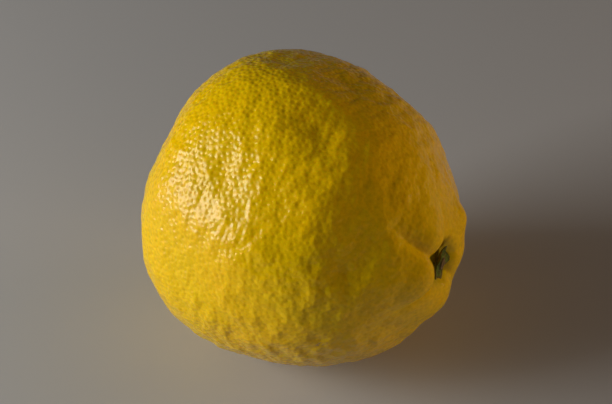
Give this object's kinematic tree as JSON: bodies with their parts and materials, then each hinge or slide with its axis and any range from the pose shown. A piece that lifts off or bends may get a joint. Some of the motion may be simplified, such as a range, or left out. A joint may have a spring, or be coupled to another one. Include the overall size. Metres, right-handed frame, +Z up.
{
  "type": "lemon",
  "caption": "Whole ripe lemon, nearly round, with a creased collar round the stem pit, a dry green calyx button in it and a small flat spot to lie on.",
  "frame": {"origin": "under the middle of the fruit's box, on the surface that it lies on", "axes": "+Z up, +X along the fruit towards its stem end, -Y is the side that shows its deepest crease"},
  "size_m": [0.0782, 0.072, 0.0737],
  "materials": {
    "peel": "waxy, finely pitted",
    "calyx": "dry, matt"
  },
  "bodies": {
    "root": {"lemon_fruit": "peel", "stem_button": "calyx"}
  },
  "joints": []
}
